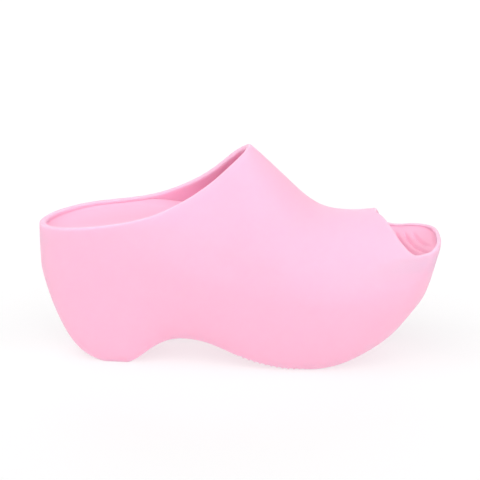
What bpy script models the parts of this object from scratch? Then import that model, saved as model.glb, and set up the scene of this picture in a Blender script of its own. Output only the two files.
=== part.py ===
"""Platform clog slide for the right foot: a hollow body moulded in one piece, with an open heel, a pointed
throat and an open toe, and an insole that lies in it.

Every size in the tables is in millimetres. +X runs to the toe, +Y to the inner side of the foot, +Z up.
The origin is on the floor under the middle of the length.
"""

from collections import namedtuple

import bmesh
import bpy
import numpy as np

MM = 0.001

# Main sizes
LENGTH = 270.0
GAP = 0.3
INSOLE_THICKNESS = 4.0

# Where the two openings end on the ridge of the vamp
THROAT = 143.5
THROAT_HEIGHT = 144.6
PEEP = 225.5
PEEP_HEIGHT = 100.8

# Where the toe's end begins
TOE_START = 252.0

# Rounding of the plan outline at the two ends: length of the rounded stretch and exponent of its curve
HEEL_ROUND = 42.0
HEEL_POWER = 2.0
TOE_ROUND = 52.0
TOE_POWER = 3.0

# Exponent of the rise from the widest line to the ridge, of the quarter below the widest line, and of the
# rounding of the two rims
RISE_POWER = 1.7
UNDER_POWER = 1.8
COLLAR_RIM_POWER = 3.5
TOE_RIM_POWER = 2.0

# Sections along the foot: distance from the back of the heel, sideways shift of the middle, half widths to
# the outer and inner side at the widest line, height of that line, half width of the flat underside and
# sharpness of the ridge
Section = namedtuple("Section", "along middle outer inner widest flat taper")
SECTIONS = (
    Section(0, 0.0, 35.5, 35.0, 80.0, 12.0, 0.15),
    Section(30, 0.0, 35.5, 35.0, 79.0, 21.0, 0.15),
    Section(60, 0.0, 36.5, 35.5, 76.0, 25.0, 0.36),
    Section(90, 0.0, 39.0, 36.5, 70.0, 26.0, 0.90),
    Section(118, 0.0, 43.5, 39.5, 64.0, 30.0, 1.05),
    Section(142, 0.3, 46.5, 43.0, 58.5, 32.5, 0.62),
    Section(165, 0.6, 49.5, 46.5, 54.0, 33.5, 0.52),
    Section(190, 1.0, 51.0, 48.5, 51.5, 33.0, 0.50),
    Section(212, 1.6, 50.0, 48.5, 53.0, 30.0, 0.50),
    Section(235, 2.8, 47.0, 46.5, 58.0, 23.0, 0.50),
    Section(255, 3.5, 44.0, 44.0, 66.5, 14.0, 0.50),
    Section(270, 3.5, 42.0, 42.0, 81.6, 6.0, 0.50),
)

# Height of the underside. What dips under the floor is pressed flat, so that heel and forefoot can rest.
Rise = namedtuple("Rise", "along height")
UNDERSIDE = (
    Rise(0, 60.5),
    Rise(7, 40.4),
    Rise(14, 25.1),
    Rise(24, 10.6),
    Rise(36, 2.6),
    Rise(48, -0.6),
    Rise(58, -0.6),
    Rise(66, 2.4),
    Rise(76, 9.9),
    Rise(88, 16.5),
    Rise(101, 18.4),
    Rise(118, 15.5),
    Rise(140, 6.5),
    Rise(160, 1.2),
    Rise(176, -0.5),
    Rise(190, 0.4),
    Rise(204, 3.3),
    Rise(223, 11.5),
    Rise(240, 22.8),
    Rise(254, 37.9),
    Rise(263, 54.8),
    Rise(268, 74.0),
    Rise(270, 80.0),
)

# Height of the ridge. Behind the throat and before the toe it is the form that the openings are cut from.
RIDGE = (
    Rise(0, 150.0),
    Rise(60, 156.0),
    Rise(105, 160.0),
    Rise(128, 156.2),
    Rise(THROAT, THROAT_HEIGHT),
    Rise(155, 133.8),
    Rise(169, 120.1),
    Rise(181, 109.1),
    Rise(192, 102.7),
    Rise(203, 100.4),
    Rise(214, 100.0),
    Rise(PEEP, PEEP_HEIGHT),
    Rise(245, 101.5),
    Rise(270, 99.0),
)

# Height of the collar's rim on the outer and the inner side
Rim = namedtuple("Rim", "along outer inner")
COLLAR = (
    Rim(0, 89.8, 89.8),
    Rim(25, 93.5, 93.5),
    Rim(49, 96.5, 96.5),
    Rim(64, 99.1, 98.8),
    Rim(78, 102.6, 102.3),
    Rim(92, 108.2, 108.0),
    Rim(107, 116.1, 116.2),
    Rim(120, 125.2, 125.9),
    Rim(132, 135.4, 136.6),
    Rim(THROAT, THROAT_HEIGHT, THROAT_HEIGHT),
)

# Height of the toe opening's rim on the outer and the inner side
TOE_RIM = (
    Rim(PEEP, PEEP_HEIGHT, PEEP_HEIGHT),
    Rim(229.5, 99.7, 89.8),
    Rim(234, 96.1, 83.2),
    Rim(239, 90.0, 81.1),
    Rim(245, 83.6, 80.8),
    Rim(249.5, 80.1, 81.5),
    Rim(252.5, 79.2, 82.0),
    Rim(255.5, 79.2, 82.3),
    Rim(259, 79.4, 82.5),
    Rim(263, 79.8, 82.5),
    Rim(270, 82.6, 82.6),
)

# Thickness of the wall along the foot
Wall = namedtuple("Wall", "along thickness")
WALLS = (
    Wall(0, 4.8),
    Wall(60, 4.2),
    Wall(140, 4.2),
    Wall(205, 4.0),
    Wall(232, 2.4),
    Wall(252, 2.2),
    Wall(263, 2.6),
    Wall(270, 3.0),
)

# Footbed: height along the middle, and how much higher its outer and inner edges are
Bed = namedtuple("Bed", "along height outer inner")
FOOTBED = (
    Bed(0, 84.5, 4.0, 4.0),
    Bed(25, 86.5, 5.2, 5.8),
    Bed(55, 89.5, 5.2, 6.6),
    Bed(80, 90.5, 5.5, 7.0),
    Bed(105, 88.0, 5.0, 6.0),
    Bed(130, 81.5, 4.0, 5.0),
    Bed(155, 73.0, 3.5, 3.5),
    Bed(180, 67.0, 3.0, 3.0),
    Bed(205, 65.5, 3.0, 4.0),
    Bed(220, 66.9, 3.2, 6.8),
    Bed(234, 69.3, 3.9, 9.6),
    Bed(244, 71.3, 4.3, 7.7),
    Bed(254, 73.2, 3.6, 6.8),
    Bed(270, 78.4, 3.0, 3.0),
)
# Length over which the footbed reaches its full dish at both ends, and exponent of the dish's curve
DISH_LENGTH = 20.0
DISH_POWER = 3.0

# Stations of the mesh: ends of each stretch, its number of steps, and powers that crowd them to either end
Stretch = namedtuple("Stretch", "start end steps first last")
STRETCHES = (
    Stretch(0.0, 34.0, 9, 2.0, 1.0),
    Stretch(34.0, 118.0, 14, 1.0, 1.0),
    Stretch(118.0, THROAT, 8, 1.0, 2.0),
    Stretch(THROAT, PEEP, 14, 1.0, 1.0),
    Stretch(PEEP, TOE_START, 9, 2.0, 1.0),
    Stretch(TOE_START, LENGTH, 8, 1.0, 2.5),
)

# Steps of the mesh around a section
FLAT_STEPS = 2
UNDER_STEPS = 7
RISE_STEPS = 8
RIM_STEPS = 4
WALL_STEPS = 5
FLOOR_STEPS = 6
BED_STEPS = 14

# Share of the section's parameter that the flat underside takes, the small step that the surface's slopes
# are measured over, and the number of points that a search compares
FLAT_SHARE = 0.3
NUDGE = 0.002
SEARCH_STEPS = 240

BODY_COLOUR = (0.93, 0.53, 0.70, 1.0)
INSOLE_COLOUR = (0.92, 0.51, 0.68, 1.0)
BODY_ROUGHNESS = 0.55
INSOLE_ROUGHNESS = 0.65
SMOOTH_ANGLE = np.radians(40.0)
WELD = 1e-6

SIDES = {"outer": -1, "inner": 1}


def curve(rows, column):
    """A cubic spline with continuous curvature through one column of a table."""
    x = np.array([row.along for row in rows], float)
    y = np.array([getattr(row, column) for row in rows], float)
    step = np.diff(x)
    slope = np.diff(y) / step
    count = len(x)
    left = np.eye(count)
    right = np.zeros(count)
    for k in range(1, count - 1):
        left[k, k - 1] = step[k - 1]
        left[k, k] = 2.0 * (step[k - 1] + step[k])
        left[k, k + 1] = step[k]
        right[k] = 6.0 * (slope[k] - slope[k - 1])
    bend = np.linalg.solve(left, right)

    def value(along):
        at = np.clip(np.asarray(along, float), x[0], x[-1])
        k = np.clip(np.searchsorted(x, at) - 1, 0, count - 2)
        before = at - x[k]
        after = x[k + 1] - at
        bent = (bend[k] * after**3 + bend[k + 1] * before**3) / (6.0 * step[k])
        start = (y[k] / step[k] - bend[k] * step[k] / 6.0) * after
        end = (y[k + 1] / step[k] - bend[k + 1] * step[k] / 6.0) * before
        return bent + start + end

    return value


MIDDLE = curve(SECTIONS, "middle")
HALF_WIDTH = {side: curve(SECTIONS, side) for side in SIDES}
WIDEST = curve(SECTIONS, "widest")
FLAT = curve(SECTIONS, "flat")
TAPER = curve(SECTIONS, "taper")
UNDER = curve(UNDERSIDE, "height")
RIDGE_HEIGHT = curve(RIDGE, "height")
COLLAR_HEIGHT = {side: curve(COLLAR, side) for side in SIDES}
TOE_HEIGHT = {side: curve(TOE_RIM, side) for side in SIDES}
WALL = curve(WALLS, "thickness")
BED_HEIGHT = curve(FOOTBED, "height")
BED_RISE = {side: curve(FOOTBED, side) for side in SIDES}
BED_EDGE = {side: (lambda along, rise=BED_RISE[side]: BED_HEIGHT(along) + rise(along)) for side in SIDES}


def end_rounding(along):
    """Share of the half width that is left near the round ends of the plan outline."""
    from_heel = np.clip(1.0 - along / HEEL_ROUND, 0.0, 1.0)
    from_toe = np.clip(1.0 - (LENGTH - along) / TOE_ROUND, 0.0, 1.0)
    heel = (1.0 - from_heel**HEEL_POWER) ** (1.0 / HEEL_POWER)
    toe = (1.0 - from_toe**TOE_POWER) ** (1.0 / TOE_POWER)
    return heel * toe


def outer_point(side, along, around):
    """Point of the closed outer form. around is 0 under the middle, 1 on the widest line, 2 on the ridge."""
    share = end_rounding(along)
    half = HALF_WIDTH[side](along) * share
    flat = FLAT(along) * share
    widest = WIDEST(along)
    under = np.maximum(UNDER(along), 0.0)
    height = RIDGE_HEIGHT(along) - widest
    on_flat = np.clip(around / FLAT_SHARE, 0.0, 1.0)
    turn = np.clip((around - FLAT_SHARE) / (1.0 - FLAT_SHARE), 0.0, 1.0) * np.pi / 2
    climb = np.clip(around - 1.0, 0.0, 1.0) * np.pi / 2
    under_y = flat * on_flat + (half - flat) * np.sin(turn) ** (2.0 / UNDER_POWER)
    under_z = widest - (widest - under) * np.maximum(np.cos(turn), 0.0) ** (2.0 / UNDER_POWER)
    rise_y = half * np.maximum(np.cos(climb), 0.0) ** (2.0 * TAPER(along))
    rise_z = widest + height * np.sin(climb) ** (2.0 / RISE_POWER)
    y = np.where(around <= 1.0, under_y, rise_y)
    z = np.where(around <= 1.0, under_z, rise_z)
    return np.stack([along + 0.0 * z, MIDDLE(along) + SIDES[side] * y, z], axis=-1)


def turn_of(along):
    """The parameter that runs evenly round both ends, 0 at the heel and 1 at the toe."""
    return np.arccos(np.clip(1.0 - 2.0 * along / LENGTH, -1.0, 1.0)) / np.pi


def along_of(turn):
    return LENGTH * (1.0 - np.cos(np.pi * turn)) / 2.0


def outer_normal(side, along, around):
    """Unit normal of the outer form, pointing out."""
    turn = turn_of(along)
    ahead = outer_point(side, along_of(np.minimum(turn + NUDGE, 1.0)), around)
    behind = outer_point(side, along_of(np.maximum(turn - NUDGE, 0.0)), around)
    above = outer_point(side, along, np.minimum(around + NUDGE, 2.0))
    below = outer_point(side, along, np.maximum(around - NUDGE, 0.0))
    lengthways = ahead - behind
    normal = np.cross(lengthways, above - below) * -SIDES[side]
    upright = np.where(around > 1.0, 1.0, -1.0)
    middle_normal = np.stack([-lengthways[..., 2], 0.0 * upright, lengthways[..., 0]], axis=-1)
    middle_normal *= upright[..., None]
    on_middle = (around < NUDGE) | (around > 2.0 - NUDGE)
    normal = np.where(on_middle[..., None], middle_normal, normal)
    end = np.where(along <= 0.0, -1.0, np.where(along >= LENGTH, 1.0, 0.0))
    end_normal = np.stack([end, 0.0 * end, 0.0 * end], axis=-1)
    normal = np.where(end[..., None] != 0.0, end_normal, normal)
    return normal / np.linalg.norm(normal, axis=-1, keepdims=True)


def inner_point(side, along, around, gap=0.0):
    """Point on the wall's inside, or this far in from it."""
    depth = WALL(along)[..., None] + gap
    return outer_point(side, along, around) - depth * outer_normal(side, along, around)


def rim_around(side, along):
    """The parameter around the section at which an opening cuts the form, 2 where the vamp is closed."""
    widest = WIDEST(along)
    ridge = RIDGE_HEIGHT(along)
    rim = np.where(along < THROAT, COLLAR_HEIGHT[side](along), ridge)
    rim = np.where(along > PEEP, TOE_HEIGHT[side](along), rim)
    share = np.clip((rim - widest) / (ridge - widest), 0.0, 1.0)
    return 1.0 + np.arcsin(share ** (RISE_POWER / 2.0)) * 2.0 / np.pi


def floor_height(along):
    return BED_HEIGHT(along) - INSOLE_THICKNESS - GAP


def bed_bottom(along):
    return floor_height(along) + GAP


def toe_reach(height):
    """Distance along at which the wall's inside at the toe, on the middle line, climbs to a height."""
    tries = np.linspace(TOE_START, LENGTH, SEARCH_STEPS)
    points = inner_point("outer", tries, np.zeros(SEARCH_STEPS))
    return np.interp(0.0, points[:, 2] - height(points[:, 0]), tries)


def wall_line(along, heights):
    """Line on which the inner wall meets a height that varies along the foot: both parameters per side."""
    reach = toe_reach(lambda x: (heights["outer"](x) + heights["inner"](x)) / 2.0)
    past_start = np.maximum(along - TOE_START, 0.0) * (reach - TOE_START) / (LENGTH - TOE_START)
    place = np.minimum(along, TOE_START) + past_start
    # A line that closes below the tip ends on the middle of the toe, where around is 0.
    searched = len(along) - int(reach < LENGTH)
    found = {}
    for side in SIDES:
        around = np.zeros_like(along)
        for k in range(searched):
            tries = np.linspace(0.0, float(rim_around(side, place[k])), SEARCH_STEPS)
            points = inner_point(side, np.full(SEARCH_STEPS, place[k]), tries)
            around[k] = np.interp(0.0, points[:, 2] - heights[side](points[:, 0]), tries)
        found[side] = around
    for end in (0, -1):
        found["outer"][end] = (found["outer"][end] + found["inner"][end]) / 2.0
        found["inner"][end] = found["outer"][end]
    return {side: (place, found[side]) for side in SIDES}


def stations():
    """Distances along the foot at which the mesh has a section."""
    found = [0.0]
    for stretch in STRETCHES:
        share = np.linspace(0.0, 1.0, stretch.steps + 1)[1:] ** stretch.first
        share = 1.0 - (1.0 - share) ** stretch.last
        found.extend(stretch.start + (stretch.end - stretch.start) * share)
    return np.array(found)


def between(first, last, steps):
    """Values that run from the first to the last, an array for each step."""
    return [first * (1.0 - share) + last * share for share in np.linspace(0.0, 1.0, steps + 1)]


def rim_rows(along, power):
    """Rounded rim of an opening that closes at the last station: per side, rows from outer to inner wall."""
    points = {}
    normals = {}
    for side in SIDES:
        around = rim_around(side, along)
        points[side] = outer_point(side, along, around)
        normals[side] = outer_normal(side, along, around)
    loop = np.concatenate([points["outer"], points["inner"][-2:0:-1]])
    normal = np.concatenate([normals["outer"], normals["inner"][-2:0:-1]])
    tangent = np.roll(loop, -1, axis=0) - np.roll(loop, 1, axis=0)
    away = np.cross(normal, tangent) * np.sign(along[-1] - along[0])
    away /= np.linalg.norm(away, axis=1, keepdims=True)
    radius = WALL(loop[:, 0])[:, None] / 2.0
    middle = loop - radius * normal
    rows = []
    for angle in np.linspace(0.0, np.pi, RIM_STEPS + 1):
        across = np.sign(np.cos(angle)) * abs(np.cos(angle)) ** (2.0 / power)
        up = np.sin(angle) ** (2.0 / power)
        rows.append(middle + radius * (across * normal + up * away))
    rows = np.array(rows)
    last = len(along) - 1
    back = np.concatenate([[0], np.arange(len(loop) - 1, last - 1, -1)])
    return {"outer": rows[:, : last + 1], "inner": rows[:, back]}


def grid_faces(mesh, rows):
    """Quads over a grid of points."""
    points = [[mesh.verts.new(point * MM) for point in row] for row in rows]
    for lower, upper in zip(points, points[1:]):
        for k in range(len(lower) - 1):
            mesh.faces.new((lower[k], lower[k + 1], upper[k + 1], upper[k]))


def make_object(name, mesh, colour, roughness):
    """Welds the grids into one closed body and makes the object."""
    bmesh.ops.translate(mesh, verts=mesh.verts, vec=(-LENGTH / 2 * MM, 0.0, 0.0))
    bmesh.ops.remove_doubles(mesh, verts=mesh.verts, dist=WELD)
    bmesh.ops.dissolve_degenerate(mesh, edges=mesh.edges, dist=WELD)
    bmesh.ops.triangulate(mesh, faces=mesh.faces)
    bmesh.ops.recalc_face_normals(mesh, faces=mesh.faces)
    data = bpy.data.meshes.new(name)
    mesh.to_mesh(data)
    mesh.free()
    data.shade_smooth()
    data.set_sharp_from_angle(angle=SMOOTH_ANGLE)
    material = bpy.data.materials.new(name)
    material.use_nodes = True
    shader = material.node_tree.nodes["Principled BSDF"]
    shader.inputs["Base Color"].default_value = colour
    shader.inputs["Roughness"].default_value = roughness
    data.materials.append(material)
    made = bpy.data.objects.new(name, data)
    bpy.context.scene.collection.objects.link(made)


def moulded_body():
    """Outer form, rounded rims, inner walls and floor."""
    along = stations()
    mesh = bmesh.new()
    base = wall_line(along, dict.fromkeys(SIDES, floor_height))
    beside_bed = wall_line(along, BED_EDGE)
    floor_edge = {}
    for side in SIDES:
        top = rim_around(side, along)
        flat = between(np.zeros_like(along), np.full_like(along, FLAT_SHARE), FLAT_STEPS)
        under = between(flat[-1], np.ones_like(along), UNDER_STEPS)
        rise = between(under[-1], top, RISE_STEPS)
        grid_faces(mesh, [outer_point(side, along, around) for around in flat + under[1:] + rise[1:]])
        floor_edge[side] = inner_point(side, *base[side])
        bed_line = inner_point(side, *beside_bed[side])
        rise = between(beside_bed[side][1], top, WALL_STEPS)
        curved = [inner_point(side, along, around) for around in rise]
        straight = between(bed_line, curved[-1], WALL_STEPS)
        at_toe = (along > TOE_START)[:, None]
        wall = [np.where(at_toe, low_row, high_row) for low_row, high_row in zip(straight, curved)]
        grid_faces(mesh, [floor_edge[side]] + wall)
    grid_faces(mesh, between(floor_edge["outer"], floor_edge["inner"], FLOOR_STEPS))
    collar = rim_rows(along[along <= THROAT], COLLAR_RIM_POWER)
    toe = rim_rows(along[along >= PEEP][::-1], TOE_RIM_POWER)
    for side in SIDES:
        grid_faces(mesh, collar[side])
        grid_faces(mesh, toe[side])
    make_object("moulded_body", mesh, BODY_COLOUR, BODY_ROUGHNESS)


def insole():
    """Footbed with a flat bottom across, a dished top and a side that follows the wall."""
    along = stations()
    mesh = bmesh.new()
    base = wall_line(along, dict.fromkeys(SIDES, bed_bottom))
    edge = wall_line(along, BED_EDGE)
    low = {}
    high = {}
    for side in SIDES:
        low[side] = inner_point(side, *base[side], GAP)
        high[side] = inner_point(side, *edge[side], GAP)
        grid_faces(mesh, [low[side], high[side]])
    grid_faces(mesh, between(low["outer"], low["inner"], FLOOR_STEPS))
    back = high["outer"][0, 0]
    front = high["outer"][-1, 0]
    top = between(high["outer"], high["inner"], BED_STEPS)
    for points, share in zip(top, np.linspace(0.0, 1.0, BED_STEPS + 1)):
        along = points[:, 0]
        ends = np.minimum(along - back, front - along)
        dish = (BED_RISE["outer"](along) + BED_RISE["inner"](along)) / 2.0
        dish *= 1.0 - np.clip(1.0 - ends / DISH_LENGTH, 0.0, 1.0) ** DISH_POWER
        points[:, 2] -= dish * (1.0 - abs(2.0 * share - 1.0) ** DISH_POWER)
    grid_faces(mesh, top)
    make_object("insole", mesh, INSOLE_COLOUR, INSOLE_ROUGHNESS)


def main():
    for thing in list(bpy.data.objects):
        bpy.data.objects.remove(thing, do_unlink=True)
    moulded_body()
    insole()


if __name__ == "__main__":
    main()
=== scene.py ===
"""Looks of the platform clog slide: a fine mesh of the moulded body with its tread, a footbed with toe ribs,
soft moulded-foam materials, a pale floor, studio light and the photograph's camera.

The form's tables and functions are those of the part's source, in millimetres: +X runs to the toe, +Y to the
inner side of the foot, +Z up.
"""

from collections import namedtuple

import bmesh
import bpy
import numpy as np
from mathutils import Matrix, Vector


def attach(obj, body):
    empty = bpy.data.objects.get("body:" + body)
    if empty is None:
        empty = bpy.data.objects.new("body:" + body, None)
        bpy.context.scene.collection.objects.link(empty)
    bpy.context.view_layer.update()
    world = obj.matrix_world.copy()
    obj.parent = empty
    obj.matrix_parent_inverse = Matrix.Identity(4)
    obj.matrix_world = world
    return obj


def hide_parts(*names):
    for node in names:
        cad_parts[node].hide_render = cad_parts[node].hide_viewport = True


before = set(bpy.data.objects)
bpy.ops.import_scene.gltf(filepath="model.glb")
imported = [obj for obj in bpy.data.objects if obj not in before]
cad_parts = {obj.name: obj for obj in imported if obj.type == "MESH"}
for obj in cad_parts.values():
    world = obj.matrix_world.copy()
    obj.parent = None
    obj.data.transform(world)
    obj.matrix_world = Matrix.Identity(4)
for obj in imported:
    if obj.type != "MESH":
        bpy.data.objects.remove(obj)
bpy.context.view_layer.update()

MM = 0.001

# Main sizes
LENGTH = 270.0
GAP = 0.3
INSOLE_THICKNESS = 4.0
# Footbed's soft edge: how far it is pressed into the wall and climbs it, where the rim allows, how much wider
# than high that climb is, and its exponent
EDGE_TUCK = 0.2
EDGE_CLIMB = 2.5
CLIMB_RATIO = 2.2
CLIMB_POWER = 2.5

# Where the two openings end on the ridge of the vamp
THROAT = 143.5
THROAT_HEIGHT = 144.6
PEEP = 225.5
PEEP_HEIGHT = 100.8

# Where the toe's end begins
TOE_START = 252.0

# Rounding of the plan outline at the two ends: length of the rounded stretch and exponent of its curve
HEEL_ROUND = 42.0
HEEL_POWER = 2.0
TOE_ROUND = 52.0
TOE_POWER = 3.0

# Exponent of the rise from the widest line to the ridge, of the quarter below the widest line, and of the
# rounding of the two rims
RISE_POWER = 1.7
UNDER_POWER = 1.8
COLLAR_RIM_POWER = 3.5
TOE_RIM_POWER = 2.0

# Sections along the foot: distance from the back of the heel, sideways shift of the middle, half widths to
# the outer and inner side at the widest line, height of that line, half width of the flat underside and
# sharpness of the ridge
Section = namedtuple("Section", "along middle outer inner widest flat taper")
SECTIONS = (
    Section(0, 0.0, 35.5, 35.0, 80.0, 12.0, 0.15),
    Section(30, 0.0, 35.5, 35.0, 79.0, 21.0, 0.15),
    Section(60, 0.0, 36.5, 35.5, 76.0, 25.0, 0.36),
    Section(90, 0.0, 39.0, 36.5, 70.0, 26.0, 0.90),
    Section(118, 0.0, 43.5, 39.5, 64.0, 30.0, 1.05),
    Section(142, 0.3, 46.5, 43.0, 58.5, 32.5, 0.62),
    Section(165, 0.6, 49.5, 46.5, 54.0, 33.5, 0.52),
    Section(190, 1.0, 51.0, 48.5, 51.5, 33.0, 0.50),
    Section(212, 1.6, 50.0, 48.5, 53.0, 30.0, 0.50),
    Section(235, 2.8, 47.0, 46.5, 58.0, 23.0, 0.50),
    Section(255, 3.5, 44.0, 44.0, 66.5, 14.0, 0.50),
    Section(270, 3.5, 42.0, 42.0, 81.6, 6.0, 0.50),
)

# Height of the underside. What dips under the floor is pressed flat, so that heel and forefoot can rest.
Rise = namedtuple("Rise", "along height")
UNDERSIDE = (
    Rise(0, 60.5),
    Rise(7, 40.4),
    Rise(14, 25.1),
    Rise(24, 10.6),
    Rise(36, 2.6),
    Rise(48, -0.6),
    Rise(58, -0.6),
    Rise(66, 2.4),
    Rise(76, 9.9),
    Rise(88, 16.5),
    Rise(101, 18.4),
    Rise(118, 15.5),
    Rise(140, 6.5),
    Rise(160, 1.2),
    Rise(176, -0.5),
    Rise(190, 0.4),
    Rise(204, 3.3),
    Rise(223, 11.5),
    Rise(240, 22.8),
    Rise(254, 37.9),
    Rise(263, 54.8),
    Rise(268, 74.0),
    Rise(270, 80.0),
)

# Height of the ridge. Behind the throat and before the toe it is the form that the openings are cut from.
RIDGE = (
    Rise(0, 150.0),
    Rise(60, 156.0),
    Rise(105, 160.0),
    Rise(128, 156.2),
    Rise(THROAT, THROAT_HEIGHT),
    Rise(155, 133.8),
    Rise(169, 120.1),
    Rise(181, 109.1),
    Rise(192, 102.7),
    Rise(203, 100.4),
    Rise(214, 100.0),
    Rise(PEEP, PEEP_HEIGHT),
    Rise(245, 101.5),
    Rise(270, 99.0),
)

# Height of the collar's rim on the outer and the inner side
Rim = namedtuple("Rim", "along outer inner")
COLLAR = (
    Rim(0, 89.8, 89.8),
    Rim(25, 93.5, 93.5),
    Rim(49, 96.5, 96.5),
    Rim(64, 99.1, 98.8),
    Rim(78, 102.6, 102.3),
    Rim(92, 108.2, 108.0),
    Rim(107, 116.1, 116.2),
    Rim(120, 125.2, 125.9),
    Rim(132, 135.4, 136.6),
    Rim(THROAT, THROAT_HEIGHT, THROAT_HEIGHT),
)

# Height of the toe opening's rim on the outer and the inner side
TOE_RIM = (
    Rim(PEEP, PEEP_HEIGHT, PEEP_HEIGHT),
    Rim(229.5, 99.7, 89.8),
    Rim(234, 96.1, 83.2),
    Rim(239, 90.0, 81.1),
    Rim(245, 83.6, 80.8),
    Rim(249.5, 80.1, 81.5),
    Rim(252.5, 79.2, 82.0),
    Rim(255.5, 79.2, 82.3),
    Rim(259, 79.4, 82.5),
    Rim(263, 79.8, 82.5),
    Rim(270, 82.6, 82.6),
)

# Thickness of the wall along the foot
Wall = namedtuple("Wall", "along thickness")
WALLS = (
    Wall(0, 4.8),
    Wall(60, 4.2),
    Wall(140, 4.2),
    Wall(205, 4.0),
    Wall(232, 2.4),
    Wall(252, 2.2),
    Wall(263, 2.6),
    Wall(270, 3.0),
)

# Footbed: height along the middle, and how much higher its outer and inner edges are
Bed = namedtuple("Bed", "along height outer inner")
FOOTBED = (
    Bed(0, 84.5, 4.0, 4.0),
    Bed(25, 86.5, 5.2, 5.8),
    Bed(55, 89.5, 5.2, 6.6),
    Bed(80, 90.5, 5.5, 7.0),
    Bed(105, 88.0, 5.0, 6.0),
    Bed(130, 81.5, 4.0, 5.0),
    Bed(155, 73.0, 3.5, 3.5),
    Bed(180, 67.0, 3.0, 3.0),
    Bed(205, 65.5, 3.0, 4.0),
    Bed(220, 66.9, 3.2, 6.8),
    Bed(234, 69.3, 3.9, 9.6),
    Bed(244, 71.3, 4.3, 7.7),
    Bed(254, 73.2, 3.6, 6.8),
    Bed(270, 78.4, 3.0, 3.0),
)
# Length over which the footbed reaches its full dish at both ends, and exponent of the dish's curve
DISH_LENGTH = 20.0
DISH_POWER = 3.0

# Tread: bars across the sole, their pitch and depth, how softly a bar's side rises and how wide the bar is,
# as shares of the pitch's wave
TREAD_PITCH = 3.8
TREAD_DEPTH = 0.7
TREAD_SLOPE = 0.3
TREAD_BAR = 0.35
# Patches of tread: ends, lengths over which the bars fade at the two ends, and how far up the section they
# run in full and end
Patch = namedtuple("Patch", "start end back_fade front_fade full_around last_around")
TREAD_PATCHES = (
    Patch(37.0, 65.0, 4.0, 4.0, 0.20, 0.28),
    Patch(132.5, 186.0, 8.0, 20.0, 0.36, 0.41),
)

# Toe ribs: grooves between them, as arcs over the footbed
RIB_COUNT = 4
RIB_PITCH = 5.4
RIB_DEPTH = 1.9
RIB_WIDTH = 1.9
RIB_FIRST = 227.7
RIB_BEND = 0.00145
RIB_APEX = 113.0
RIB_CLEAR = 2.5
RIB_FADE = 6.0

# Stations of the meshes: ends of each stretch, its number of steps, and powers that crowd them to either end
Stretch = namedtuple("Stretch", "start end steps first last")
BODY_STRETCHES = (
    Stretch(0.0, 34.0, 26, 2.0, 1.0),
    Stretch(34.0, 68.0, 84, 1.0, 1.0),
    Stretch(68.0, 118.0, 26, 1.0, 1.0),
    Stretch(118.0, 131.0, 10, 1.0, 1.0),
    Stretch(131.0, THROAT, 40, 1.0, 1.6),
    Stretch(THROAT, 187.0, 110, 1.0, 1.0),
    Stretch(187.0, PEEP, 22, 1.0, 1.0),
    Stretch(PEEP, TOE_START, 28, 2.0, 1.0),
    Stretch(TOE_START, LENGTH, 24, 1.0, 2.5),
)
INSOLE_STRETCHES = (
    Stretch(0.0, 34.0, 26, 2.0, 1.0),
    Stretch(34.0, 232.0, 100, 1.0, 1.0),
    Stretch(232.0, TOE_START, 50, 1.0, 1.0),
    Stretch(TOE_START, LENGTH, 50, 1.0, 2.0),
)

# Steps of the meshes around a section
FLAT_STEPS = 6
UNDER_STEPS = 28
RISE_STEPS = 30
RIM_STEPS = 10
WALL_STEPS = 16
FLOOR_STEPS = 8
BED_STEPS = 72

# Share of the section's parameter that the flat underside takes, the small step that the surface's slopes
# are measured over, and the number of points that a search compares
FLAT_SHARE = 0.3
NUDGE = 0.002
SEARCH_STEPS = 240

SMOOTH_ANGLE = np.radians(50.0)
WELD = 1e-6

SIDES = {"outer": -1, "inner": 1}

# Camera: the point that it looks at, where that point is in the photograph, and from where it looks
IMAGE_SIZE = 480.0
TARGET = Vector((0.0, 0.0, 0.075))
TARGET_PIXEL = (239.4, 246.4)
PIXELS_PER_METRE = 1480.0
CAMERA_DISTANCE = 1.0
CAMERA_AZIMUTH = np.radians(2.5)
CAMERA_ELEVATION = np.radians(17.0)
SENSOR = 36.0

# Foams: colour, roughness of the skin and share of the light that spreads below it
Foam = namedtuple("Foam", "name colour roughness inner_light")
BODY_FOAM = Foam("foam", (0.94, 0.485, 0.64), 0.66, 0.7)
BED_FOAM = Foam("footbed_foam", (0.94, 0.47, 0.63), 0.7, 0.0)
SPECULAR = 0.2
# How far light spreads in the foam: colour of the spread, and its length in metres
INNER_COLOUR = (1.0, 0.7, 0.75)
INNER_LENGTH = 0.01
# Faint clouds in the foam's colour: their number per metre, detail and darkest share of the colour
CLOUD_SCALE = 60.0
CLOUD_DETAIL = 3.0
CLOUD_DARK = 0.98
# Skin and fine grain: bumps per metre, detail, height in metres, strength, and spread of the skin's roughness
Bumps = namedtuple("Bumps", "scale detail height strength")
SKIN = Bumps(350.0, 4.0, 0.0003, 0.12)
GRAIN = Bumps(2200.0, 2.0, 0.0001, 0.25)
ROUGH_SPREAD = 0.06

# Floor: size in metres, grey, roughness, and the light that comes through it as through a light table
FLOOR_SIZE = 60.0
FLOOR_GREY = 0.3
FLOOR_ROUGHNESS = 0.8
FLOOR_GLOW = 0.62

# Light of the surroundings, and lamps: where each stands, how wide it is as seen from the shoe, in degrees,
# and its strength
WORLD_STRENGTH = 0.15
Lamp = namedtuple("Lamp", "name place width strength")
LAMPS = (
    Lamp("above_front", (0.1, -0.6, 1.2), 80.0, 0.72),
    Lamp("above_heel", (-0.7, 0.05, 1.1), 60.0, 0.65),
    Lamp("front", (0.0, -1.0, 0.95), 60.0, 1.46),
    Lamp("beside_heel", (-0.8, -0.5, 0.8), 50.0, 0.65),
    Lamp("before_toe", (1.0, -0.3, 0.6), 40.0, 0.95),
    Lamp("behind", (0.0, 1.0, 0.35), 60.0, 1.2),
)


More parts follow.
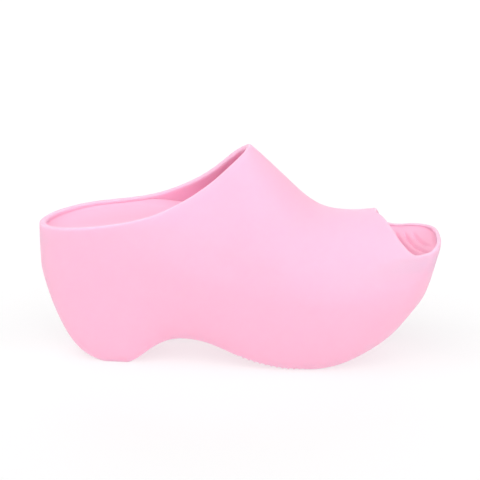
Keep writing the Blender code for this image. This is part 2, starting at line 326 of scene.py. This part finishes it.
def curve(rows, column):
    """A cubic spline with continuous curvature through one column of a table."""
    x = np.array([row.along for row in rows], float)
    y = np.array([getattr(row, column) for row in rows], float)
    step = np.diff(x)
    slope = np.diff(y) / step
    count = len(x)
    left = np.eye(count)
    right = np.zeros(count)
    for k in range(1, count - 1):
        left[k, k - 1] = step[k - 1]
        left[k, k] = 2.0 * (step[k - 1] + step[k])
        left[k, k + 1] = step[k]
        right[k] = 6.0 * (slope[k] - slope[k - 1])
    bend = np.linalg.solve(left, right)

    def value(along):
        at = np.clip(np.asarray(along, float), x[0], x[-1])
        k = np.clip(np.searchsorted(x, at) - 1, 0, count - 2)
        before = at - x[k]
        after = x[k + 1] - at
        bent = (bend[k] * after**3 + bend[k + 1] * before**3) / (6.0 * step[k])
        start = (y[k] / step[k] - bend[k] * step[k] / 6.0) * after
        end = (y[k + 1] / step[k] - bend[k + 1] * step[k] / 6.0) * before
        return bent + start + end

    return value


MIDDLE = curve(SECTIONS, "middle")
HALF_WIDTH = {side: curve(SECTIONS, side) for side in SIDES}
WIDEST = curve(SECTIONS, "widest")
FLAT = curve(SECTIONS, "flat")
TAPER = curve(SECTIONS, "taper")
UNDER = curve(UNDERSIDE, "height")
RIDGE_HEIGHT = curve(RIDGE, "height")
COLLAR_HEIGHT = {side: curve(COLLAR, side) for side in SIDES}
TOE_HEIGHT = {side: curve(TOE_RIM, side) for side in SIDES}
WALL = curve(WALLS, "thickness")
BED_HEIGHT = curve(FOOTBED, "height")
BED_RISE = {side: curve(FOOTBED, side) for side in SIDES}
BED_EDGE = {side: (lambda along, rise=BED_RISE[side]: BED_HEIGHT(along) + rise(along)) for side in SIDES}
RAISED_EDGE = {side: (lambda along, edge=BED_EDGE[side]: edge(along) + EDGE_CLIMB) for side in SIDES}


def smooth_step(low, high, value):
    """0 below low, 1 above high, and a smooth rise between."""
    share = np.clip((value - low) / (high - low), 0.0, 1.0)
    return share * share * (3.0 - 2.0 * share)


def end_rounding(along):
    """Share of the half width that is left near the round ends of the plan outline."""
    from_heel = np.clip(1.0 - along / HEEL_ROUND, 0.0, 1.0)
    from_toe = np.clip(1.0 - (LENGTH - along) / TOE_ROUND, 0.0, 1.0)
    heel = (1.0 - from_heel**HEEL_POWER) ** (1.0 / HEEL_POWER)
    toe = (1.0 - from_toe**TOE_POWER) ** (1.0 / TOE_POWER)
    return heel * toe


def outer_point(side, along, around):
    """Point of the closed outer form. around is 0 under the middle, 1 on the widest line, 2 on the ridge."""
    share = end_rounding(along)
    half = HALF_WIDTH[side](along) * share
    flat = FLAT(along) * share
    widest = WIDEST(along)
    under = np.maximum(UNDER(along), 0.0)
    height = RIDGE_HEIGHT(along) - widest
    on_flat = np.clip(around / FLAT_SHARE, 0.0, 1.0)
    turn = np.clip((around - FLAT_SHARE) / (1.0 - FLAT_SHARE), 0.0, 1.0) * np.pi / 2
    climb = np.clip(around - 1.0, 0.0, 1.0) * np.pi / 2
    under_y = flat * on_flat + (half - flat) * np.sin(turn) ** (2.0 / UNDER_POWER)
    under_z = widest - (widest - under) * np.maximum(np.cos(turn), 0.0) ** (2.0 / UNDER_POWER)
    rise_y = half * np.maximum(np.cos(climb), 0.0) ** (2.0 * TAPER(along))
    rise_z = widest + height * np.sin(climb) ** (2.0 / RISE_POWER)
    y = np.where(around <= 1.0, under_y, rise_y)
    z = np.where(around <= 1.0, under_z, rise_z)
    return np.stack([along + 0.0 * z, MIDDLE(along) + SIDES[side] * y, z], axis=-1)


def turn_of(along):
    """The parameter that runs evenly round both ends, 0 at the heel and 1 at the toe."""
    return np.arccos(np.clip(1.0 - 2.0 * along / LENGTH, -1.0, 1.0)) / np.pi


def along_of(turn):
    return LENGTH * (1.0 - np.cos(np.pi * turn)) / 2.0


def outer_normal(side, along, around):
    """Unit normal of the outer form, pointing out."""
    turn = turn_of(along)
    ahead = outer_point(side, along_of(np.minimum(turn + NUDGE, 1.0)), around)
    behind = outer_point(side, along_of(np.maximum(turn - NUDGE, 0.0)), around)
    above = outer_point(side, along, np.minimum(around + NUDGE, 2.0))
    below = outer_point(side, along, np.maximum(around - NUDGE, 0.0))
    lengthways = ahead - behind
    normal = np.cross(lengthways, above - below) * -SIDES[side]
    upright = np.where(around > 1.0, 1.0, -1.0)
    middle_normal = np.stack([-lengthways[..., 2], 0.0 * upright, lengthways[..., 0]], axis=-1)
    middle_normal *= upright[..., None]
    on_middle = (around < NUDGE) | (around > 2.0 - NUDGE)
    normal = np.where(on_middle[..., None], middle_normal, normal)
    end = np.where(along <= 0.0, -1.0, np.where(along >= LENGTH, 1.0, 0.0))
    end_normal = np.stack([end, 0.0 * end, 0.0 * end], axis=-1)
    normal = np.where(end[..., None] != 0.0, end_normal, normal)
    return normal / np.linalg.norm(normal, axis=-1, keepdims=True)


def inner_point(side, along, around, gap=0.0):
    """Point on the wall's inside, or this far in from it."""
    depth = WALL(along)[..., None] + gap
    return outer_point(side, along, around) - depth * outer_normal(side, along, around)


def rim_around(side, along):
    """The parameter around the section at which an opening cuts the form, 2 where the vamp is closed."""
    widest = WIDEST(along)
    ridge = RIDGE_HEIGHT(along)
    rim = np.where(along < THROAT, COLLAR_HEIGHT[side](along), ridge)
    rim = np.where(along > PEEP, TOE_HEIGHT[side](along), rim)
    share = np.clip((rim - widest) / (ridge - widest), 0.0, 1.0)
    return 1.0 + np.arcsin(share ** (RISE_POWER / 2.0)) * 2.0 / np.pi


def floor_height(along):
    return BED_HEIGHT(along) - INSOLE_THICKNESS - GAP


def bed_bottom(along):
    return floor_height(along) + GAP


def toe_reach(height):
    """Distance along at which the wall's inside at the toe, on the middle line, climbs to a height."""
    tries = np.linspace(TOE_START, LENGTH, SEARCH_STEPS)
    points = inner_point("outer", tries, np.zeros(SEARCH_STEPS))
    return np.interp(0.0, points[:, 2] - height(points[:, 0]), tries)


def wall_line(along, heights):
    """Line on which the inner wall meets a height that varies along the foot: both parameters per side."""
    reach = toe_reach(lambda x: (heights["outer"](x) + heights["inner"](x)) / 2.0)
    past_start = np.maximum(along - TOE_START, 0.0) * (reach - TOE_START) / (LENGTH - TOE_START)
    place = np.minimum(along, TOE_START) + past_start
    # A line that closes below the tip ends on the middle of the toe, where around is 0.
    searched = len(along) - int(reach < LENGTH)
    found = {}
    for side in SIDES:
        around = np.zeros_like(along)
        for k in range(searched):
            tries = np.linspace(0.0, float(rim_around(side, place[k])), SEARCH_STEPS)
            points = inner_point(side, np.full(SEARCH_STEPS, place[k]), tries)
            around[k] = np.interp(0.0, points[:, 2] - heights[side](points[:, 0]), tries)
        found[side] = around
    for end in (0, -1):
        found["outer"][end] = (found["outer"][end] + found["inner"][end]) / 2.0
        found["inner"][end] = found["outer"][end]
    return {side: (place, found[side]) for side in SIDES}


def stations(stretches):
    """Distances along the foot at which a mesh has a section."""
    found = [0.0]
    for stretch in stretches:
        share = np.linspace(0.0, 1.0, stretch.steps + 1)[1:] ** stretch.first
        share = 1.0 - (1.0 - share) ** stretch.last
        found.extend(stretch.start + (stretch.end - stretch.start) * share)
    return np.array(found)


def between(first, last, steps):
    """Values that run from the first to the last, an array for each step."""
    return [first * (1.0 - share) + last * share for share in np.linspace(0.0, 1.0, steps + 1)]


def rim_rows(along, power):
    """Rounded rim of an opening that closes at the last station: per side, rows from outer to inner wall."""
    points = {}
    normals = {}
    for side in SIDES:
        around = rim_around(side, along)
        points[side] = outer_point(side, along, around)
        normals[side] = outer_normal(side, along, around)
    loop = np.concatenate([points["outer"], points["inner"][-2:0:-1]])
    normal = np.concatenate([normals["outer"], normals["inner"][-2:0:-1]])
    tangent = np.roll(loop, -1, axis=0) - np.roll(loop, 1, axis=0)
    away = np.cross(normal, tangent) * np.sign(along[-1] - along[0])
    away /= np.linalg.norm(away, axis=1, keepdims=True)
    radius = WALL(loop[:, 0])[:, None] / 2.0
    middle = loop - radius * normal
    rows = []
    for angle in np.linspace(0.0, np.pi, RIM_STEPS + 1):
        across = np.sign(np.cos(angle)) * abs(np.cos(angle)) ** (2.0 / power)
        up = np.sin(angle) ** (2.0 / power)
        rows.append(middle + radius * (across * normal + up * away))
    rows = np.array(rows)
    last = len(along) - 1
    back = np.concatenate([[0], np.arange(len(loop) - 1, last - 1, -1)])
    return {"outer": rows[:, : last + 1], "inner": rows[:, back]}


def tread_depth(along, around):
    """How deep the grooves between the tread's bars cut into the underside."""
    wave = 0.5 + 0.5 * np.cos(2.0 * np.pi * along / TREAD_PITCH)
    groove = smooth_step(TREAD_BAR - TREAD_SLOPE, TREAD_BAR + TREAD_SLOPE, wave)
    share = 0.0
    for patch in TREAD_PATCHES:
        lengthways = smooth_step(patch.start, patch.start + patch.back_fade, along)
        lengthways = lengthways * smooth_step(-patch.end, patch.front_fade - patch.end, -along)
        share = share + lengthways * smooth_step(-patch.last_around, -patch.full_around, -around)
    return TREAD_DEPTH * groove * share


def sole_point(side, along, around):
    """Point of the outer form with the tread's grooves cut in."""
    depth = tread_depth(along, around)[..., None]
    return outer_point(side, along, around) - depth * outer_normal(side, along, around)


def rib_depth(points, edges):
    """How deep the grooves between the toe ribs are, given how far each point is from the footbed's edges."""
    arc = RIB_BEND * (RIB_APEX - points[:, 1]) ** 2
    share = smooth_step(RIB_CLEAR, RIB_CLEAR + RIB_FADE, edges)
    depth = np.zeros(len(points))
    for k in range(RIB_COUNT):
        away = (points[:, 0] - RIB_FIRST - k * RIB_PITCH - arc) / (RIB_WIDTH / 2.0)
        depth += RIB_DEPTH * share * np.exp(-away * away)
    return depth


def grid_faces(mesh, rows):
    """Quads over a grid of points."""
    points = [[mesh.verts.new(point * MM) for point in row] for row in rows]
    for lower, upper in zip(points, points[1:]):
        for k in range(len(lower) - 1):
            mesh.faces.new((lower[k], lower[k + 1], upper[k + 1], upper[k]))


def make_piece(name, mesh, material, node):
    """Welds the grids into one closed body and makes the piece that stands for a node."""
    bmesh.ops.translate(mesh, verts=mesh.verts, vec=(-LENGTH / 2 * MM, 0.0, 0.0))
    bmesh.ops.remove_doubles(mesh, verts=mesh.verts, dist=WELD)
    bmesh.ops.dissolve_degenerate(mesh, edges=mesh.edges, dist=WELD)
    bmesh.ops.recalc_face_normals(mesh, faces=mesh.faces)
    # On a thin body that can turn every face inwards.
    if mesh.calc_volume(signed=True) < 0.0:
        bmesh.ops.reverse_faces(mesh, faces=mesh.faces)
    data = bpy.data.meshes.new(name)
    mesh.to_mesh(data)
    mesh.free()
    data.shade_smooth()
    data.set_sharp_from_angle(angle=SMOOTH_ANGLE)
    data.materials.append(material)
    piece = bpy.data.objects.new(name, data)
    bpy.context.scene.collection.objects.link(piece)
    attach(piece, "root")
    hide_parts(node)
    return piece


def clog_body(material):
    """Outer form with tread, rounded rims, inner walls and floor."""
    along = stations(BODY_STRETCHES)
    mesh = bmesh.new()
    base = wall_line(along, dict.fromkeys(SIDES, floor_height))
    beside_bed = wall_line(along, BED_EDGE)
    floor_edge = {}
    for side in SIDES:
        top = rim_around(side, along)
        flat = between(np.zeros_like(along), np.full_like(along, FLAT_SHARE), FLAT_STEPS)
        under = between(flat[-1], np.ones_like(along), UNDER_STEPS)
        rise = between(under[-1], top, RISE_STEPS)
        grid_faces(mesh, [sole_point(side, along, around) for around in flat + under[1:] + rise[1:]])
        floor_edge[side] = inner_point(side, *base[side])
        bed_line = inner_point(side, *beside_bed[side])
        rise = between(beside_bed[side][1], top, WALL_STEPS)
        curved = [inner_point(side, along, around) for around in rise]
        straight = between(bed_line, curved[-1], WALL_STEPS)
        at_toe = (along > TOE_START)[:, None]
        wall = [np.where(at_toe, low_row, high_row) for low_row, high_row in zip(straight, curved)]
        grid_faces(mesh, [floor_edge[side]] + wall)
    grid_faces(mesh, between(floor_edge["outer"], floor_edge["inner"], FLOOR_STEPS))
    collar = rim_rows(along[along <= THROAT], COLLAR_RIM_POWER)
    toe = rim_rows(along[along >= PEEP][::-1], TOE_RIM_POWER)
    for side in SIDES:
        grid_faces(mesh, collar[side])
        grid_faces(mesh, toe[side])
    return make_piece("clog_body", mesh, material, "moulded_body")


def footbed(material):
    """Footbed with a flat bottom across, a dished top with toe ribs and an edge that climbs the wall."""
    along = stations(INSOLE_STRETCHES)
    mesh = bmesh.new()
    base = wall_line(along, dict.fromkeys(SIDES, bed_bottom))
    edge = wall_line(along, RAISED_EDGE)
    low = {}
    high = {}
    climb = {}
    for side in SIDES:
        low[side] = inner_point(side, *base[side], GAP)
        high[side] = inner_point(side, *edge[side], -EDGE_TUCK)
        climb[side] = high[side][:, 2] - BED_EDGE[side](high[side][:, 0])
        grid_faces(mesh, [low[side], high[side]])
    grid_faces(mesh, between(low["outer"], low["inner"], FLOOR_STEPS))
    width = (high["inner"] - high["outer"])[:, 1]
    back = high["outer"][0, 0]
    front = high["outer"][-1, 0]
    top = []
    for share in (1.0 - np.cos(np.linspace(0.0, np.pi, BED_STEPS + 1))) / 2.0:
        points = high["outer"] * (1.0 - share) + high["inner"] * share
        along = points[:, 0]
        ends = np.minimum(along - back, front - along)
        edges = np.minimum(width * min(share, 1.0 - share), ends)
        climbed = climb["outer"] * (1.0 - share) + climb["inner"] * share
        climb_width = np.maximum(CLIMB_RATIO * climbed, GAP)
        points[:, 2] -= climbed * (1.0 - np.clip(1.0 - edges / climb_width, 0.0, 1.0) ** CLIMB_POWER)
        dish = (BED_RISE["outer"](along) + BED_RISE["inner"](along)) / 2.0
        dish *= 1.0 - np.clip(1.0 - ends / DISH_LENGTH, 0.0, 1.0) ** DISH_POWER
        points[:, 2] -= dish * (1.0 - abs(2.0 * share - 1.0) ** DISH_POWER)
        points[:, 2] -= rib_depth(points, edges)
        top.append(points)
    grid_faces(mesh, top)
    return make_piece("footbed", mesh, material, "insole")


def foam_material(foam):
    """Moulded foam: a faintly clouded colour, a soft matte skin and its fine grain."""
    material = bpy.data.materials.new(foam.name)
    material.use_nodes = True
    nodes = material.node_tree.nodes
    links = material.node_tree.links
    shader = nodes["Principled BSDF"]
    place = nodes.new("ShaderNodeTexCoord")

    def noise(scale, detail):
        made = nodes.new("ShaderNodeTexNoise")
        made.inputs["Scale"].default_value = scale
        made.inputs["Detail"].default_value = detail
        links.new(place.outputs["Object"], made.inputs["Vector"])
        return made.outputs["Fac"]

    def bump(bumps):
        made = nodes.new("ShaderNodeBump")
        made.inputs["Strength"].default_value = bumps.strength
        made.inputs["Distance"].default_value = bumps.height
        links.new(noise(bumps.scale, bumps.detail), made.inputs["Height"])
        return made

    clouds = nodes.new("ShaderNodeMix")
    clouds.data_type = "RGBA"
    clouds.inputs["A"].default_value = (*[part * CLOUD_DARK for part in foam.colour], 1.0)
    clouds.inputs["B"].default_value = (*foam.colour, 1.0)
    links.new(noise(CLOUD_SCALE, CLOUD_DETAIL), clouds.inputs["Factor"])
    links.new(clouds.outputs["Result"], shader.inputs["Base Color"])
    rough = nodes.new("ShaderNodeMapRange")
    rough.inputs["To Min"].default_value = foam.roughness - ROUGH_SPREAD
    rough.inputs["To Max"].default_value = foam.roughness + ROUGH_SPREAD
    links.new(noise(SKIN.scale, SKIN.detail), rough.inputs["Value"])
    links.new(rough.outputs["Result"], shader.inputs["Roughness"])
    skin = bump(SKIN)
    grain = bump(GRAIN)
    links.new(skin.outputs["Normal"], grain.inputs["Normal"])
    links.new(grain.outputs["Normal"], shader.inputs["Normal"])
    shader.inputs["Specular IOR Level"].default_value = SPECULAR
    shader.inputs["Subsurface Weight"].default_value = foam.inner_light
    shader.inputs["Subsurface Radius"].default_value = INNER_COLOUR
    shader.inputs["Subsurface Scale"].default_value = INNER_LENGTH
    return material


def studio_floor():
    """A wide pale floor under the shoe, faintly lit from below as a light table is."""
    bpy.ops.mesh.primitive_plane_add(size=FLOOR_SIZE)
    floor = bpy.context.object
    floor.name = "floor"
    material = bpy.data.materials.new("floor")
    material.use_nodes = True
    shader = material.node_tree.nodes["Principled BSDF"]
    shader.inputs["Base Color"].default_value = (FLOOR_GREY, FLOOR_GREY, FLOOR_GREY, 1.0)
    shader.inputs["Roughness"].default_value = FLOOR_ROUGHNESS
    shader.inputs["Emission Color"].default_value = (1.0, 1.0, 1.0, 1.0)
    shader.inputs["Emission Strength"].default_value = FLOOR_GLOW
    floor.data.materials.append(material)


def add_lamp(lamp):
    """A broad, far lamp, turned to the shoe."""
    light = bpy.data.lights.new(lamp.name, "SUN")
    light.angle = np.radians(lamp.width)
    light.energy = lamp.strength
    holder = bpy.data.objects.new(lamp.name, light)
    holder.location = lamp.place
    holder.rotation_euler = (TARGET - holder.location).to_track_quat("-Z", "Y").to_euler()
    bpy.context.scene.collection.objects.link(holder)


def studio_light():
    """A white backdrop that lights the shoe less than it shows, and broad lamps around the shoe."""
    world = bpy.data.worlds.new("studio")
    world.use_nodes = True
    nodes = world.node_tree.nodes
    links = world.node_tree.links
    glow = nodes["Background"]
    glow.inputs["Color"].default_value = (1.0, 1.0, 1.0, 1.0)
    glow.inputs["Strength"].default_value = WORLD_STRENGTH
    backdrop = nodes.new("ShaderNodeBackground")
    backdrop.inputs["Color"].default_value = (1.0, 1.0, 1.0, 1.0)
    seen = nodes.new("ShaderNodeMixShader")
    links.new(nodes.new("ShaderNodeLightPath").outputs["Is Camera Ray"], seen.inputs["Fac"])
    links.new(glow.outputs["Background"], seen.inputs[1])
    links.new(backdrop.outputs["Background"], seen.inputs[2])
    links.new(seen.outputs["Shader"], nodes["World Output"].inputs["Surface"])
    bpy.context.scene.world = world
    for lamp in LAMPS:
        add_lamp(lamp)


def photo_camera():
    """The camera at the photograph's angle and framing."""
    camera = bpy.data.objects.new("camera", bpy.data.cameras.new("camera"))
    level = np.cos(CAMERA_ELEVATION)
    side = np.sin(CAMERA_AZIMUTH) * level
    front = -np.cos(CAMERA_AZIMUTH) * level
    back = Vector((side, front, np.sin(CAMERA_ELEVATION)))
    camera.location = TARGET + back * CAMERA_DISTANCE
    camera.rotation_euler = (-back).to_track_quat("-Z", "Y").to_euler()
    camera.data.sensor_width = SENSOR
    camera.data.lens = SENSOR * CAMERA_DISTANCE * PIXELS_PER_METRE / IMAGE_SIZE
    camera.data.shift_x = 0.5 - TARGET_PIXEL[0] / IMAGE_SIZE
    camera.data.shift_y = TARGET_PIXEL[1] / IMAGE_SIZE - 0.5
    bpy.context.scene.collection.objects.link(camera)
    bpy.context.scene.camera = camera


photo_camera()
body = clog_body(foam_material(BODY_FOAM))
bed = footbed(foam_material(BED_FOAM))
studio_floor()
studio_light()
bpy.context.scene.view_settings.view_transform = "Standard"
